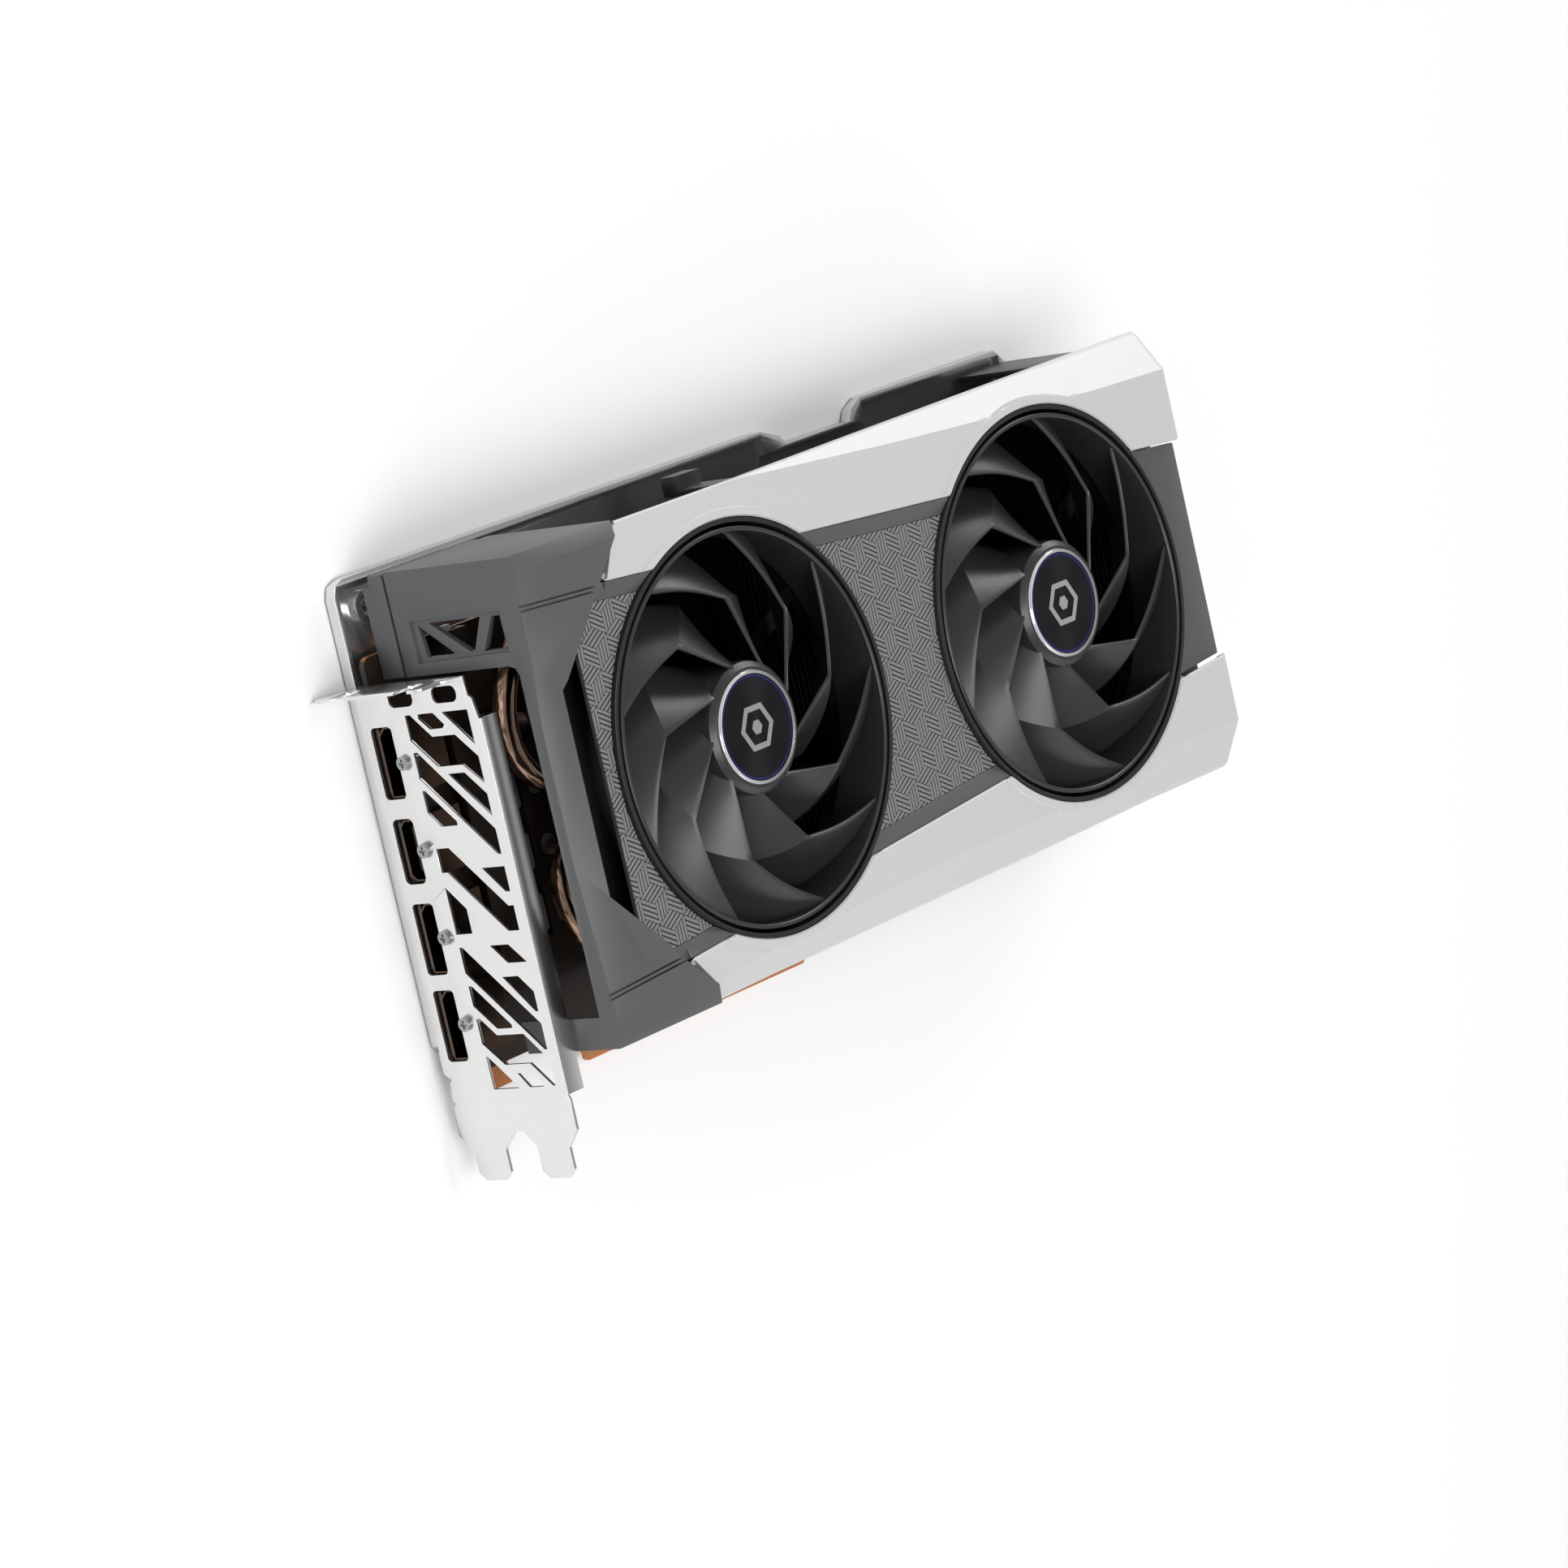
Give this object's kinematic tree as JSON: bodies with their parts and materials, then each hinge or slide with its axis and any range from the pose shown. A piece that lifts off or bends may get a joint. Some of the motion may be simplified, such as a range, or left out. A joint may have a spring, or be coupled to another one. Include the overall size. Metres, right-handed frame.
{
  "type": "graphics card",
  "caption": "Dual-fan graphics card on a full-height two-slot bracket, with a finned heat-pipe cooler, metal backplate and angular shroud.",
  "frame": {"origin": "bottom centre of the whole card's box, the card lying on its backplate with the fans up", "axes": "+X from the bracket to the tail, +Y from the contact edge to the power socket's edge, +Z from the backplate to the fans"},
  "size_m": [0.2774, 0.146, 0.0564],
  "materials": {
    "nickel_steel": "bright nickel plated",
    "screw_steel": "bright",
    "screw_black": "black",
    "socket_steel": "dark bronze nickel",
    "black_plastic": "moulded",
    "board_black": "solder mask",
    "gold": "plated gold",
    "substrate_green": "resin",
    "silicon": "polished",
    "chip_black": "moulded",
    "pad_grey": "soft",
    "coil_grey": "pressed powder",
    "can_aluminium": "satin",
    "white_plastic": "moulded",
    "copper": "machined copper",
    "dark_aluminium": "cast",
    "nickel_copper": "nickel plated over copper",
    "fin_aluminium": "rolled",
    "backplate_metal": "satin black",
    "shroud_black": "fine grain",
    "insert_grey": "moulded relief",
    "bezel_grey": "satin",
    "silver_paint": "fine metallic silver",
    "cap_grey": "satin dark grey",
    "rotor_grey": "satin moulded",
    "bright_ring": "bright cut",
    "badge_black": "spun disc",
    "bronze": "sintered",
    "magnet_dark": "bonded ferrite",
    "winding_copper": "enamelled wire"
  },
  "bodies": {
    "card": {"bracket": "nickel_steel", "bracket_screws": "screw_steel", "display_socket_1": "socket_steel", "display_socket_2": "socket_steel", "display_socket_3": "socket_steel", "media_socket": "socket_steel", "socket_tongues": "black_plastic", "circuit_board": "board_black", "edge_contacts": "gold", "processor_package": "substrate_green", "processor_die": "silicon", "memory_chips": "chip_black", "memory_pads": "pad_grey", "power_coils": "coil_grey", "capacitors": "can_aluminium", "power_stages": "chip_black", "power_socket": "black_plastic", "power_pins": "gold", "fan_headers": "white_plastic", "switch_body": "black_plastic", "cold_plate": "copper", "base_plate": "dark_aluminium", "heat_pipes": "nickel_copper", "fin_stack": "fin_aluminium", "cooler_screws": "screw_steel", "retention_plate": "screw_steel", "backplate": "backplate_metal", "backplate_screws": "screw_steel", "shroud_deck": "shroud_black", "fan_duct_1": "shroud_black", "fan_duct_2": "shroud_black", "shroud_tail": "shroud_black", "insert_left": "insert_grey", "insert_middle": "insert_grey", "bezel_bars": "bezel_grey", "tail_panel": "bezel_grey", "top_strip": "silver_paint", "bottom_strip": "silver_paint", "end_cap": "cap_grey", "cap_corner": "cap_grey", "shroud_screws": "screw_black", "fan_mount_1": "shroud_black", "fan_mount_2": "shroud_black", "stator_1": "winding_copper", "stator_2": "winding_copper", "bearing_1": "bronze", "bearing_2": "bronze"},
    "fan_rotor_1": {"rotor_1": "rotor_grey", "fan_shaft_1": "screw_steel", "magnet_ring_1": "magnet_dark", "hub_ring_1": "bright_ring", "hub_badge_1": "badge_black"},
    "fan_rotor_2": {"rotor_2": "rotor_grey", "fan_shaft_2": "screw_steel", "magnet_ring_2": "magnet_dark", "hub_ring_2": "bright_ring", "hub_badge_2": "badge_black"},
    "switch_slider": {"switch_slider": "white_plastic"}
  },
  "joints": [
    {"name": "fan_1_spin", "type": "hinge", "parent": "card", "child": "fan_rotor_1", "pos_m": [-0.04908, 0.0141, 0.043], "axis": [0, 0, 1], "continuous": true},
    {"name": "fan_2_spin", "type": "hinge", "parent": "card", "child": "fan_rotor_2", "pos_m": [0.07581, 0.0141, 0.043], "axis": [0, 0, 1], "continuous": true},
    {"name": "switch_slide", "type": "slide", "parent": "card", "child": "switch_slider", "axis": [1, 0, 0], "range_m": [0, 0.002]}
  ]
}
